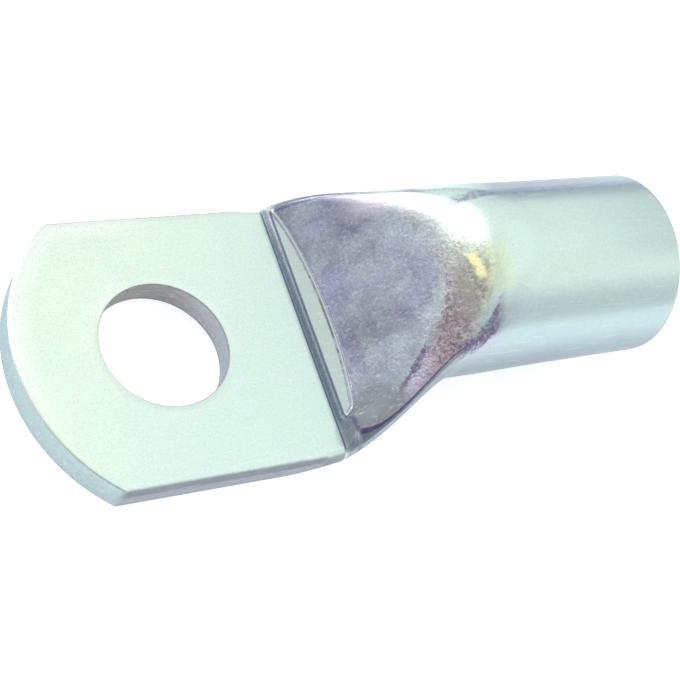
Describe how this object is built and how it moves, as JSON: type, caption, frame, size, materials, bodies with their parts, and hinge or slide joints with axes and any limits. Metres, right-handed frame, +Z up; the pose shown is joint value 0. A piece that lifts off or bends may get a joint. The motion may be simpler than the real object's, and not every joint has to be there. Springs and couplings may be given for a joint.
{
  "type": "tubular cable lug",
  "caption": "Tin-plated copper tubular cable lug pressed from round tube, with a flat palm for a terminal stud and an open barrel that is crimped onto a cable.",
  "frame": {"origin": "where the stud hole's axis meets the palm's underside", "axes": "+X along the barrel towards its mouth, +Z up out of the palm's top face, +Y across the palm"},
  "size_m": [0.0432, 0.0184, 0.0129],
  "materials": {
    "tin_plate": "electro-tinned copper, bright and slightly cloudy"
  },
  "bodies": {
    "root": {"cable_lug": "tin_plate"}
  },
  "joints": []
}
